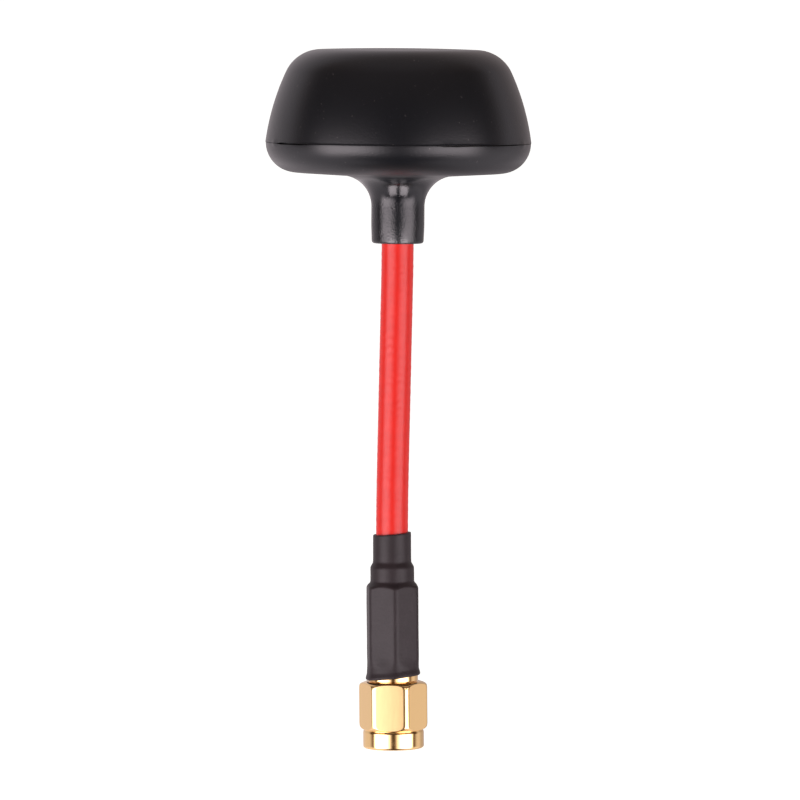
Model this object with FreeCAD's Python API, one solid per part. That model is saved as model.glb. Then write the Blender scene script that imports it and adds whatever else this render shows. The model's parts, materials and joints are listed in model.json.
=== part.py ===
"""Mushroom antenna: a two-part black head on a red coax stem, with a crimped, gold-plated plug.

Lengths are in millimetres and angles in degrees. The origin is the centre of the plug's reference
plane, where the outer contact meets the jack. +Z runs up the plug's axis towards the head.
"""
import FreeCAD
import Part

import math
import os

from FreeCAD import Vector

# Plug interface
OUTER_CONTACT_DIAMETER = 4.56
OUTER_CONTACT_BORE = 4.10
OUTER_CONTACT_LENGTH = 1.95
PIN_DIAMETER = 0.914
PIN_REACH = 2.20
PIN_TIP_LENGTH = 0.35
PIN_TIP_DIAMETER = 0.40
PIN_SHANK_DIAMETER = 1.27
PIN_LENGTH = 9.00
PIN_SOCKET_DEPTH = 3.00
FRONT_RECESS = 0.05

# Plug body
SHOULDER_DIAMETER = 5.50
GASKET_SEAT_DIAMETER = 4.90
GASKET_WIDTH = 0.60
GASKET_THICKNESS = 0.60
FLANGE_DIAMETER = 6.50
FLANGE_LENGTH = 0.86
TAIL_DIAMETER = 6.20
TAIL_LENGTH = 0.90
CRIMP_BARREL_DIAMETER = 4.00
CRIMP_BARREL_BORE = 3.10
CRIMP_BARREL_LENGTH = 9.70
INSULATOR_LENGTH = 6.95
EDGE_BREAK = 0.06

# Snap ring between the body and the nut
SNAP_RING_DIAMETER = 6.10
SNAP_RING_BORE = 4.80
SNAP_RING_THICKNESS = 0.44
SNAP_RING_SPLIT_DEG = 28.0
SNAP_RING_TO_FLANGE = 1.37
SNAP_GROOVE_PLAY = 0.03
NUT_GROOVE_PLAY = 0.17

# Coupling nut
NUT_REACH = 3.30
NUT_LENGTH = 8.72
NUT_ACROSS_FLATS = 8.00
NUT_CORNER_DIAMETER = 8.95
NUT_TURN_DEG = 23.3
NUT_COLLAR_DIAMETER = 7.94
NUT_COLLAR_LENGTH = 2.42
NUT_COLLAR_ROUND = 0.18
NUT_FRONT_CHAMFER = 0.50
NUT_BACK_CHAMFER = 0.85
NUT_BACK_DIAMETER = 6.50
NUT_THREAD_BORE = 5.74
NUT_THREAD_LENGTH = 4.10
NUT_MOUTH_CHAMFER = 0.35
NUT_RUNNING_GAP = 0.05
NUT_FACE_GAP = 0.12
NUT_GASKET_FACE_GAP = 0.15
NUT_GASKET_SIDE_GAP = 0.20

# Crimp ferrule
FERRULE_ACROSS_FLATS = 5.70
FERRULE_CORNER_RADIUS = 0.35
FERRULE_TURN_DEG = 6.5
FERRULE_HEX_LENGTH = 10.30
FERRULE_SHOULDER = 0.80
FERRULE_NECK_DIAMETER = 4.90
FERRULE_NECK_LENGTH = 2.00
FERRULE_END_GAP = 0.10

# Heat-shrink boot
BOOT_WALL = 0.40
BOOT_FOOT_TAPER = 0.80
BOOT_FRONT_LAP = 0.40
BOOT_FRONT_CUT_DEG = 5.5
BOOT_STEP_LENGTH = 0.60
BOOT_STEM_LENGTH = 3.75
BOOT_BACK_CUT_DEG = 4.5

# Coaxial cable
CONDUCTOR_DIAMETER = 0.92
DIELECTRIC_DIAMETER = 2.98
BRAID_DIAMETER = 3.58
JACKET_DIAMETER = 4.20
BRAID_FLARE_LENGTH = 1.10
FIT_GAP = 0.02

# How far a cutting shape runs past the face that it cuts
CUT_SPARE = 1.00

# Course of the stem, measured along the cable from the reference plane to the head's neck
STEM_LENGTH = 62.60
LEAN_START_GAP = 0.10
LEAN_BEND_LENGTH = 12.00
LEAN_DEG = 1.75
HEAD_BEND_LENGTH = 6.00
HEAD_TILT_DEG = 0.85

# Head base, heights measured from the neck's mouth along the head's own axis
NECK_RADIUS = 3.49
NECK_MOUTH_RADIUS = 3.41
NECK_TAPER_LENGTH = 2.40
NECK_EDGE_ROUND = 0.35
NECK_LENGTH = 4.80
NECK_FILLET = 4.00
NECK_BORE_GAP = 0.065
NECK_COUNTERSINK = 1.00
UNDERSIDE_RISE_DEG = 3.5
BASE_RADIUS = 17.25
BASE_CORNER_RADIUS = 3.90
SHELL_WALL = 1.20
SEAM_EDGE_BREAK = 0.12

# Lap joint between the shells
LIP_HEIGHT = 1.20
LIP_WALL = 0.55
LIP_GAP = 0.05

# Head cap
CAP_OVERHANG = 0.05
CAP_RIM_LEAN_DEG = 7.3
CAP_SIDE_RADIUS = 31.50
CAP_SHOULDER_DEG = 24.7
CAP_SHOULDER_RADIUS = 5.00
CAP_CROWN_RADIUS = 300.0

# Radiator loops
LEAF_COUNT = 3
LEAF_WALL_GAP = 3.25
LEAF_HEADROOM = 0.35
LEAF_HALF_ANGLE_DEG = 48.0
LEAF_WIRE_DIAMETER = 0.90
LEAF_CORNER_RADIUS = 1.80
LEAF_FEED_START = 0.95
LEAF_GROUND_START = 1.55
FEED_SOLDER_RADIUS = 1.25
FEED_SOLDER_RISE = 0.50
FEED_CONDUCTOR_RISE = 0.90
GROUND_SOLDER_RADIUS = 0.52
GLUE_BEAD_RADIUS = 3.90
GLUE_BEAD_HEIGHT = 1.70
JACKET_STUB = 0.60

AXIS = Vector(0, 0, 1)
ORIGIN = Vector(0, 0, 0)
PARTS_FOLDER = "parts"


def sine(degrees):
    return math.sin(math.radians(degrees))


def cosine(degrees):
    return math.cos(math.radians(degrees))


def tangent(degrees):
    return math.tan(math.radians(degrees))


class Outline:
    """A closed outline of lines and arcs in the plane of radius and height."""

    def __init__(self, r, z):
        self.first = self.last = Vector(r, 0, z)
        self.edges = []

    def to(self, *places):
        for r, z in places:
            self._line(Vector(r, 0, z))
        return self

    def arc(self, centre_r, centre_z, radius, start_deg, end_deg):
        """Add an arc, with a line to its start where the outline isn't there yet."""
        middle_deg = (start_deg + end_deg) / 2
        start, middle, end = [
            Vector(centre_r + radius * cosine(a), 0, centre_z + radius * sine(a))
            for a in (start_deg, middle_deg, end_deg)
        ]
        self._line(start)
        self.edges.append(Part.Arc(self.last, middle, end).toShape())
        self.last = end
        return self

    def _line(self, end):
        if (end - self.last).Length > 1e-6:
            self.edges.append(Part.LineSegment(self.last, end).toShape())
            self.last = end

    def turned(self, sweep_deg=360.0):
        """The solid that the outline makes when it is turned about the axis."""
        self._line(self.first)
        face = Part.Face(Part.Wire(self.edges))
        return face.revolve(ORIGIN, AXIS, sweep_deg)


def tube(outer_diameter, inner_diameter, low, high):
    """A straight round tube on the axis."""
    outer, inner = outer_diameter / 2, inner_diameter / 2
    return Outline(inner, low).to((outer, low), (outer, high), (inner, high)).turned()


def rod(diameter, low, high):
    return Part.makeCylinder(diameter / 2, high - low, Vector(0, 0, low), AXIS)


def hexagon(across_flats, corner_radius, turn_deg, low, high):
    """A hexagonal bar on the axis. turn_deg is a corner's angle from the front, towards +X."""
    apothem = across_flats / 2
    reach = (apothem - corner_radius) / cosine(30)
    edges = []
    corners = [turn_deg - 90 + 60 * k for k in range(6)]
    for angle in corners:
        centre = Vector(reach * cosine(angle), reach * sine(angle), low)
        on_corner = [
            centre + Vector(corner_radius * cosine(angle + a), corner_radius * sine(angle + a), 0)
            for a in (-30, 0, 30)
        ]
        edges.append(on_corner)
    outline = []
    for k, (start, middle, end) in enumerate(edges):
        following = edges[(k + 1) % len(edges)][0]
        if corner_radius > 0:
            outline.append(Part.Arc(start, middle, end).toShape())
        outline.append(Part.LineSegment(end, following).toShape())
    return Part.Face(Part.Wire(outline)).extrude(Vector(0, 0, high - low))


def advance(point, length, start_deg, end_deg):
    """The point reached after a stretch of cable whose direction turns evenly."""
    if start_deg == end_deg:
        return point + Vector(sine(start_deg), 0, cosine(start_deg)) * length
    radius = length / math.radians(end_deg - start_deg)
    across = cosine(start_deg) - cosine(end_deg)
    along = sine(end_deg) - sine(start_deg)
    return point + Vector(across, 0, along) * radius


def cable_course(start, end):
    """The wire that the cable's axis follows between two stations along it."""
    reach = max(end - STEM_LENGTH, 0.0) + CUT_SPARE
    stretches = STRETCHES + ((reach, HEAD_TILT_DEG, HEAD_TILT_DEG),)
    edges = []
    place = ORIGIN
    station = 0.0
    for length, from_deg, to_deg in stretches:
        low = max(start - station, 0.0)
        high = min(end - station, length)
        if high - low > 1e-6:
            turn = (to_deg - from_deg) / length
            low_deg, high_deg = from_deg + turn * low, from_deg + turn * high
            middle_deg = (low_deg + high_deg) / 2
            first = advance(place, low, from_deg, low_deg)
            middle = advance(first, (high - low) / 2, low_deg, middle_deg)
            last = advance(first, high - low, low_deg, high_deg)
            if turn:
                edges.append(Part.Arc(first, middle, last).toShape())
            else:
                edges.append(Part.LineSegment(first, last).toShape())
        place = advance(place, length, from_deg, to_deg)
        station += length
    return Part.Wire(edges)


def along_cable(diameter, start, end):
    """A round solid that follows the cable between two stations."""
    course = cable_course(start, end)
    first = course.Edges[0]
    heading = first.tangentAt(first.FirstParameter)
    ring = Part.makeCircle(diameter / 2, first.valueAt(first.FirstParameter), heading)
    return course.makePipeShell([Part.Wire(ring)], True, True)


def head_place():
    """The place and tilt of the head's own axis, at the neck's mouth."""
    place = ORIGIN
    for length, from_deg, to_deg in STRETCHES:
        place = advance(place, length, from_deg, to_deg)
    return FreeCAD.Placement(place, FreeCAD.Rotation(Vector(0, 1, 0), HEAD_TILT_DEG))


# Diameters in the plug that follow from the sizes
GASKET_DIAMETER = GASKET_SEAT_DIAMETER + 2 * GASKET_WIDTH
NUT_RELIEF_DIAMETER = GASKET_DIAMETER + 2 * NUT_GASKET_SIDE_GAP

# Heights on the plug's axis that follow from the sizes
GASKET_FACE = OUTER_CONTACT_LENGTH
SHOULDER_FACE = GASKET_FACE + GASKET_THICKNESS
NUT_FRONT = -NUT_REACH
NUT_BACK = NUT_FRONT + NUT_LENGTH
FLANGE_FACE = NUT_BACK + NUT_FACE_GAP
TAIL_START = FLANGE_FACE + FLANGE_LENGTH
TAIL_END = TAIL_START + TAIL_LENGTH
BARREL_END = TAIL_END + CRIMP_BARREL_LENGTH
SNAP_RING_MIDDLE = FLANGE_FACE - SNAP_RING_TO_FLANGE - SNAP_RING_THICKNESS / 2
INSULATOR_END = FRONT_RECESS + INSULATOR_LENGTH
FERRULE_START = TAIL_END + FERRULE_END_GAP
FERRULE_HEX_END = TAIL_END + FERRULE_HEX_LENGTH
FERRULE_NECK_START = FERRULE_HEX_END + FERRULE_SHOULDER
FERRULE_END = FERRULE_NECK_START + FERRULE_NECK_LENGTH
BOOT_STEP_END = FERRULE_END + BOOT_STEP_LENGTH
BOOT_END = BOOT_STEP_END + BOOT_STEM_LENGTH
BRAID_FLARE_DIAMETER = CRIMP_BARREL_DIAMETER + BRAID_DIAMETER - DIELECTRIC_DIAMETER
JACKET_START = FERRULE_NECK_START + FIT_GAP
PIN_END = PIN_LENGTH - PIN_REACH

# Course of the cable: straight, a slow bend into the lean, straight, a slow bend back, straight
LEAN_START = BOOT_STEP_END + LEAN_START_GAP
LEAN_RUN = STEM_LENGTH - LEAN_START - LEAN_BEND_LENGTH - HEAD_BEND_LENGTH
STRETCHES = (
    (LEAN_START, 0.0, 0.0),
    (LEAN_BEND_LENGTH, 0.0, LEAN_DEG),
    (LEAN_RUN, LEAN_DEG, LEAN_DEG),
    (HEAD_BEND_LENGTH, LEAN_DEG, HEAD_TILT_DEG),
)

# Heights and radii in the head that follow from the sizes
CAP_RADIUS = BASE_RADIUS + CAP_OVERHANG
LEAF_REACH = BASE_RADIUS - SHELL_WALL - LEAF_WALL_GAP
NECK_BORE_RADIUS = JACKET_DIAMETER / 2 + NECK_BORE_GAP
FILLET_CENTRE_RADIUS = NECK_RADIUS + NECK_FILLET
BASE_CORNER_CENTRE_RADIUS = BASE_RADIUS - BASE_CORNER_RADIUS


def underside(radius, inset=0.0):
    """Height of the base's underside at a radius, or of its inner face at an inset."""
    start_radius = FILLET_CENTRE_RADIUS - NECK_FILLET * sine(UNDERSIDE_RISE_DEG)
    start_height = NECK_LENGTH + NECK_FILLET * cosine(UNDERSIDE_RISE_DEG)
    rise = (radius - start_radius) * tangent(UNDERSIDE_RISE_DEG)
    return start_height + rise + inset / cosine(UNDERSIDE_RISE_DEG)


SEAM = underside(BASE_CORNER_CENTRE_RADIUS, BASE_CORNER_RADIUS)
SIDE_CENTRE = (
    CAP_RADIUS - CAP_SIDE_RADIUS * cosine(CAP_RIM_LEAN_DEG),
    SEAM - CAP_SIDE_RADIUS * sine(CAP_RIM_LEAN_DEG),
)
SHOULDER_CENTRE = (
    SIDE_CENTRE[0] + (CAP_SIDE_RADIUS - CAP_SHOULDER_RADIUS) * cosine(CAP_SHOULDER_DEG),
    SIDE_CENTRE[1] + (CAP_SIDE_RADIUS - CAP_SHOULDER_RADIUS) * sine(CAP_SHOULDER_DEG),
)
CROWN_DROP = math.sqrt((CAP_CROWN_RADIUS - CAP_SHOULDER_RADIUS) ** 2 - SHOULDER_CENTRE[0] ** 2)
CROWN_CENTRE = SHOULDER_CENTRE[1] - CROWN_DROP
CROWN_EDGE_DEG = math.degrees(math.atan2(CROWN_DROP, SHOULDER_CENTRE[0]))
CEILING = CROWN_CENTRE + CAP_CROWN_RADIUS - SHELL_WALL

FLOOR_AT_NECK = underside(NECK_BORE_RADIUS, SHELL_WALL)
LEAF_FLOOR = underside(LEAF_REACH, SHELL_WALL)
LEAF_CENTRE = (CEILING + LEAF_FLOOR) / 2
LEAF_RISE = (CEILING - LEAF_FLOOR - LEAF_WIRE_DIAMETER) / 2 - LEAF_HEADROOM
LEAF_TILT_DEG = math.degrees(math.asin(LEAF_RISE / LEAF_REACH / sine(LEAF_HALF_ANGLE_DEG)))
LEG_RISE = sine(LEAF_HALF_ANGLE_DEG) * sine(LEAF_TILT_DEG)
LEG_SLOPE = LEG_RISE / math.sqrt(1 - LEG_RISE**2)
LEG_DEPTH = LEAF_WIRE_DIAMETER / 2 * math.sqrt(1 + LEG_SLOPE**2)
BRAID_TOP = LEAF_CENTRE - LEG_SLOPE * BRAID_DIAMETER / 2 - LEG_DEPTH - FIT_GAP


def connector_body():
    """Outer contact, shank with the snap-ring groove, flange and crimp barrel in one turned piece."""
    contact = OUTER_CONTACT_DIAMETER / 2
    shank = SHOULDER_DIAMETER / 2
    flange = FLANGE_DIAMETER / 2
    groove = SNAP_RING_BORE / 2 - SNAP_GROOVE_PLAY
    groove_half = SNAP_RING_THICKNESS / 2 + SNAP_GROOVE_PLAY
    bore = OUTER_CONTACT_BORE / 2
    barrel = CRIMP_BARREL_DIAMETER / 2
    barrel_bore = CRIMP_BARREL_BORE / 2
    return (
        Outline(bore, 0)
        .to((contact - EDGE_BREAK, 0), (contact, EDGE_BREAK), (contact, GASKET_FACE))
        .to((GASKET_SEAT_DIAMETER / 2, GASKET_FACE), (GASKET_SEAT_DIAMETER / 2, SHOULDER_FACE))
        .to((shank - EDGE_BREAK, SHOULDER_FACE), (shank, SHOULDER_FACE + EDGE_BREAK))
        .to((shank, SNAP_RING_MIDDLE - groove_half), (groove, SNAP_RING_MIDDLE - groove_half))
        .to((groove, SNAP_RING_MIDDLE + groove_half), (shank, SNAP_RING_MIDDLE + groove_half))
        .to((shank, FLANGE_FACE), (flange - EDGE_BREAK, FLANGE_FACE))
        .to((flange, FLANGE_FACE + EDGE_BREAK), (flange, TAIL_START), (TAIL_DIAMETER / 2, TAIL_END))
        .to((barrel, TAIL_END), (barrel, BARREL_END), (barrel_bore, BARREL_END))
        .to((barrel_bore, INSULATOR_END + FIT_GAP), (bore, INSULATOR_END + FIT_GAP))
        .turned()
    )


def contact_pin():
    """Male pin with a tapered tip, a thicker shank in the insulator and a socket for the conductor."""
    pin = PIN_DIAMETER / 2
    shank = PIN_SHANK_DIAMETER / 2
    socket = CONDUCTOR_DIAMETER / 2 + FIT_GAP
    return (
        Outline(0, -PIN_REACH)
        .to((PIN_TIP_DIAMETER / 2, -PIN_REACH), (pin, -PIN_REACH + PIN_TIP_LENGTH))
        .to((pin, FRONT_RECESS), (shank, FRONT_RECESS), (shank, PIN_END))
        .to((socket, PIN_END), (socket, PIN_END - PIN_SOCKET_DEPTH))
        .to((0, PIN_END - PIN_SOCKET_DEPTH))
        .turned()
    )


def connector_insulator():
    bore = PIN_SHANK_DIAMETER + 2 * FIT_GAP
    return tube(OUTER_CONTACT_BORE - 2 * FIT_GAP, bore, FRONT_RECESS, INSULATOR_END)


def pin_solder_joint():
    """Ring of solder on the pin's back face, round the conductor."""
    return tube(PIN_SHANK_DIAMETER, CONDUCTOR_DIAMETER, PIN_END, INSULATOR_END)


def gasket():
    seat = GASKET_SEAT_DIAMETER + 2 * FIT_GAP
    return tube(GASKET_DIAMETER, seat, GASKET_FACE + FIT_GAP, SHOULDER_FACE)


def snap_ring():
    """Split ring in the body's groove, with its gap at the back."""
    half = SNAP_RING_THICKNESS / 2
    low, high = SNAP_RING_MIDDLE - half, SNAP_RING_MIDDLE + half
    inner, outer = SNAP_RING_BORE / 2, SNAP_RING_DIAMETER / 2
    ring = (
        Outline(inner, low)
        .to((outer, low), (outer, high), (inner, high))
        .turned(360 - SNAP_RING_SPLIT_DEG)
    )
    ring.rotate(ORIGIN, AXIS, 90 + SNAP_RING_SPLIT_DEG / 2)
    return ring


def coupling_nut():
    """Hexagon with turned corners and a round collar at the front, bored for the jack and the body."""
    collar = NUT_COLLAR_DIAMETER / 2
    corner = NUT_CORNER_DIAMETER / 2
    collar_top = NUT_FRONT + NUT_COLLAR_LENGTH
    envelope = (
        Outline(0, NUT_FRONT)
        .arc(collar - NUT_COLLAR_ROUND, NUT_FRONT + NUT_COLLAR_ROUND, NUT_COLLAR_ROUND, -90, 0)
        .to((collar, collar_top), (corner, collar_top + NUT_FRONT_CHAMFER))
        .to((corner, NUT_BACK - NUT_BACK_CHAMFER), (NUT_BACK_DIAMETER / 2, NUT_BACK), (0, NUT_BACK))
        .turned()
    )
    flats = hexagon(NUT_ACROSS_FLATS, 0, NUT_TURN_DEG, collar_top, NUT_BACK)
    blank = envelope.common(flats.fuse(rod(NUT_COLLAR_DIAMETER, NUT_FRONT, collar_top)))

    thread = NUT_THREAD_BORE / 2
    relief = NUT_RELIEF_DIAMETER / 2
    thread_end = NUT_FRONT + NUT_THREAD_LENGTH
    step = SHOULDER_FACE + NUT_GASKET_FACE_GAP
    bearing = SHOULDER_DIAMETER / 2 + NUT_RUNNING_GAP
    groove = SNAP_RING_DIAMETER / 2 + NUT_GROOVE_PLAY
    groove_half = SNAP_RING_THICKNESS / 2 + NUT_GROOVE_PLAY
    mouth = thread + NUT_MOUTH_CHAMFER
    bore = (
        Outline(0, NUT_FRONT - CUT_SPARE)
        .to((mouth, NUT_FRONT - CUT_SPARE), (mouth, NUT_FRONT))
        .to((thread, NUT_FRONT + NUT_MOUTH_CHAMFER))
        .to((thread, thread_end), (relief, thread_end + relief - thread), (relief, step))
        .to((bearing, step), (bearing, SNAP_RING_MIDDLE - groove_half))
        .to((groove, SNAP_RING_MIDDLE - groove_half), (groove, SNAP_RING_MIDDLE + groove_half))
        .to((bearing, SNAP_RING_MIDDLE + groove_half))
        .to((bearing, NUT_BACK + CUT_SPARE), (0, NUT_BACK + CUT_SPARE))
        .turned()
    )
    return blank.cut(bore).removeSplitter()


def crimped_form(grow, low, high):
    """What the shrink sleeve wraps: flange, hexagon, round neck and stem, grown by a wall.

    low is the height at which the round foot begins, and high the station at which the stem ends.
    """
    flange = FLANGE_DIAMETER / 2 + grow
    tail = TAIL_DIAMETER / 2 + grow
    neck = FERRULE_NECK_DIAMETER / 2 + grow
    stem = JACKET_DIAMETER / 2 + grow
    apothem = FERRULE_ACROSS_FLATS / 2 + grow
    corner = FERRULE_CORNER_RADIUS + grow
    corner_reach = (apothem - corner) / cosine(30) + corner
    foot = (
        Outline(0, low)
        .to((flange, low), (flange, TAIL_START), (tail, TAIL_END))
        .to((apothem - BOOT_FOOT_TAPER / 2, TAIL_END + BOOT_FOOT_TAPER))
        .to((0, TAIL_END + BOOT_FOOT_TAPER))
        .turned()
    )
    envelope = (
        Outline(0, TAIL_END - FIT_GAP)
        .to((tail - FIT_GAP, TAIL_END - FIT_GAP), (corner_reach + FIT_GAP, TAIL_END + BOOT_FOOT_TAPER))
        .to((corner_reach + FIT_GAP, FERRULE_HEX_END), (neck, FERRULE_NECK_START))
        .to((neck, FERRULE_END), (stem, BOOT_STEP_END), (0, BOOT_STEP_END))
        .turned()
    )
    bar = hexagon(2 * apothem, corner, FERRULE_TURN_DEG, TAIL_END - FIT_GAP, FERRULE_NECK_START)
    wrapped = envelope.common(bar.fuse(rod(2 * neck, FERRULE_HEX_END, BOOT_STEP_END)))
    upper = along_cable(2 * stem, FERRULE_END, high)
    return foot.fuse([wrapped, upper]).removeSplitter()


def crimp_ferrule():
    """Sleeve crimped to a hexagon over the braid, with a round neck over the jacket."""
    form = crimped_form(0, TAIL_START, BOOT_END)
    flare = BRAID_FLARE_DIAMETER / 2
    neck = JACKET_DIAMETER / 2 + FIT_GAP
    ends = rod(2 * FLANGE_DIAMETER, FERRULE_START, FERRULE_END)
    bore = (
        Outline(0, FERRULE_START - CUT_SPARE)
        .to((flare, FERRULE_START - CUT_SPARE), (flare, BARREL_END))
        .to((neck, FERRULE_NECK_START - FIT_GAP))
        .to((neck, FERRULE_END + CUT_SPARE), (0, FERRULE_END + CUT_SPARE))
        .turned()
    )
    return form.common(ends).cut(bore).removeSplitter()


def slanted_end(height, slant_deg, above):
    """A block that ends at a slanted plane through the axis, higher towards +X."""
    size = 4 * FLANGE_DIAMETER
    block = Part.makeBox(size, size, size, Vector(-size / 2, -size / 2, 0 if above else -size))
    block.rotate(ORIGIN, Vector(0, 1, 0), -slant_deg)
    block.translate(Vector(0, 0, height))
    return block


def heat_shrink_boot():
    """Shrink sleeve over flange, ferrule and stem, cut a little askew at both ends."""
    front = TAIL_START - BOOT_FRONT_LAP
    outer = crimped_form(BOOT_WALL, front - CUT_SPARE, BOOT_END + CUT_SPARE)
    inner = crimped_form(0, front - 2 * CUT_SPARE, BOOT_END + 2 * CUT_SPARE)
    sleeve = outer.cut(inner)
    sleeve = sleeve.cut(slanted_end(front, BOOT_FRONT_CUT_DEG, above=False))
    return sleeve.cut(slanted_end(BOOT_END, BOOT_BACK_CUT_DEG, above=True)).removeSplitter()


def cable_tube(outer_diameter, inner_diameter, start, end):
    outer = along_cable(outer_diameter, start, end)
    return outer.cut(along_cable(inner_diameter, start - CUT_SPARE, end + CUT_SPARE))


def coax_braid():
    """Outer conductor: flared over the crimp barrel, then close on the dielectric up to the head."""
    outer, inner = BRAID_DIAMETER / 2, DIELECTRIC_DIAMETER / 2
    flare_outer = BRAID_FLARE_DIAMETER / 2
    flare_inner = CRIMP_BARREL_DIAMETER / 2
    flare_end = BARREL_END + BRAID_FLARE_LENGTH
    flare = (
        Outline(flare_inner, FERRULE_START)
        .to((flare_outer, FERRULE_START), (flare_outer, BARREL_END), (outer, flare_end))
        .to((inner, flare_end), (flare_inner, BARREL_END))
        .turned()
    )
    top = STEM_LENGTH + BRAID_TOP
    sleeve = cable_tube(2 * outer, 2 * inner, flare_end, top)
    return flare.fuse(sleeve).removeSplitter()


def radome_base():
    """Lower shell of the head, one moulding with the neck, with the lip that centres the cap."""
    rim = SEAM
    mouth = NECK_MOUTH_RADIUS - NECK_EDGE_ROUND
    inner_corner = BASE_CORNER_RADIUS - SHELL_WALL
    lip_inner = BASE_RADIUS - SHELL_WALL
    lip_outer = lip_inner + LIP_WALL
    floor_deg = UNDERSIDE_RISE_DEG - 90
    edge_deg = -math.degrees(SEAM_EDGE_BREAK / BASE_CORNER_RADIUS)
    sink_edge = NECK_BORE_RADIUS + NECK_COUNTERSINK
    return (
        Outline(NECK_BORE_RADIUS, 0)
        .arc(mouth, NECK_EDGE_ROUND, NECK_EDGE_ROUND, -90, 0)
        .to((NECK_RADIUS, NECK_TAPER_LENGTH))
        .arc(FILLET_CENTRE_RADIUS, NECK_LENGTH, NECK_FILLET, 180, 90 + UNDERSIDE_RISE_DEG)
        .arc(BASE_CORNER_CENTRE_RADIUS, SEAM, BASE_CORNER_RADIUS, floor_deg, edge_deg)
        .to((BASE_RADIUS - SEAM_EDGE_BREAK, rim), (lip_outer, rim), (lip_outer, rim + LIP_HEIGHT))
        .to((lip_inner, rim + LIP_HEIGHT))
        .arc(BASE_CORNER_CENTRE_RADIUS, SEAM, inner_corner, 0, floor_deg)
        .to((sink_edge, underside(sink_edge, SHELL_WALL)))
        .to((NECK_BORE_RADIUS, underside(sink_edge, SHELL_WALL) - NECK_COUNTERSINK))
        .turned()
    )


def radome_cap():
    """Upper shell of the head: leaning side, rounded shoulder and a slightly crowned top."""
    side, shoulder, crown = SIDE_CENTRE, SHOULDER_CENTRE, (0.0, CROWN_CENTRE)
    rebate = BASE_RADIUS - SHELL_WALL + LIP_WALL + LIP_GAP
    rebate_top = SEAM + LIP_HEIGHT + LIP_GAP
    rim_deg = math.degrees(math.asin((SEAM + SEAM_EDGE_BREAK - side[1]) / CAP_SIDE_RADIUS))
    inner_side = CAP_SIDE_RADIUS - SHELL_WALL
    inner_rim_deg = math.degrees(math.asin((rebate_top - side[1]) / inner_side))
    inner_shoulder = CAP_SHOULDER_RADIUS - SHELL_WALL
    inner_crown = CAP_CROWN_RADIUS - SHELL_WALL
    return (
        Outline(rebate, SEAM)
        .to((CAP_RADIUS - SEAM_EDGE_BREAK, SEAM))
        .arc(*side, CAP_SIDE_RADIUS, rim_deg, CAP_SHOULDER_DEG)
        .arc(*shoulder, CAP_SHOULDER_RADIUS, CAP_SHOULDER_DEG, CROWN_EDGE_DEG)
        .arc(*crown, CAP_CROWN_RADIUS, CROWN_EDGE_DEG, 90)
        .arc(*crown, inner_crown, 90, CROWN_EDGE_DEG)
        .arc(*shoulder, inner_shoulder, CROWN_EDGE_DEG, CAP_SHOULDER_DEG)
        .arc(*side, inner_side, CAP_SHOULDER_DEG, inner_rim_deg)
        .to((rebate, rebate_top))
        .turned()
    )


def leaf(turn_deg):
    """One wire loop: out along a leg, round an arc and back along the other leg, in a tilted plane."""
    across = Vector(0, cosine(LEAF_TILT_DEG), sine(LEAF_TILT_DEG))

    def at(distance, angle_deg):
        flat = Vector(distance * cosine(angle_deg), 0, LEAF_CENTRE)
        return flat + across * (distance * sine(angle_deg))

    half, reach, corner = LEAF_HALF_ANGLE_DEG, LEAF_REACH, LEAF_CORNER_RADIUS
    centre_distance = reach - corner
    corner_deg = math.degrees(math.asin(corner / centre_distance))
    leg_end = centre_distance * cosine(corner_deg)
    arc_deg = half - corner_deg

    def rounded(side):
        centre = at(centre_distance, side * arc_deg)
        leg, arc = at(leg_end, side * half), at(reach, side * arc_deg)
        out = (leg - centre) + (arc - centre)
        return leg, centre + out * (corner / out.Length), arc

    upper = rounded(1)
    lower = rounded(-1)
    course = Part.Wire([
        Part.LineSegment(at(LEAF_FEED_START, half), upper[0]).toShape(),
        Part.Arc(*upper).toShape(),
        Part.Arc(upper[2], at(reach, 0), lower[2]).toShape(),
        Part.Arc(*reversed(lower)).toShape(),
        Part.LineSegment(lower[0], at(LEAF_GROUND_START, -half)).toShape(),
    ])
    start = course.Edges[0]
    heading = start.tangentAt(start.FirstParameter)
    ring = Part.makeCircle(LEAF_WIRE_DIAMETER / 2, start.valueAt(start.FirstParameter), heading)
    wire = course.makePipeShell([Part.Wire(ring)], True, True)
    wire.rotate(ORIGIN, AXIS, turn_deg)
    return wire


def radiator():
    """The loops and their two solder joints, in the head's own frame."""
    leaves = [leaf(k * 360.0 / LEAF_COUNT) for k in range(LEAF_COUNT)]
    feed = Part.makeSphere(FEED_SOLDER_RADIUS, Vector(0, 0, LEAF_CENTRE + FEED_SOLDER_RISE))
    feed = feed.cut([rod(CONDUCTOR_DIAMETER, BRAID_TOP, LEAF_CENTRE + FEED_CONDUCTOR_RISE)] + leaves)
    ground = Part.makeTorus(
        BRAID_DIAMETER / 2 + GROUND_SOLDER_RADIUS / 3, GROUND_SOLDER_RADIUS,
        Vector(0, 0, BRAID_TOP), AXIS,
    )
    ground = ground.cut([rod(BRAID_DIAMETER, FLOOR_AT_NECK, BRAID_TOP)] + leaves)
    nodes = {f"leaf_{k + 1}": wire for k, wire in enumerate(leaves)}
    nodes["feed_solder_joint"] = feed
    nodes["ground_solder_joint"] = ground
    return nodes


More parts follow.
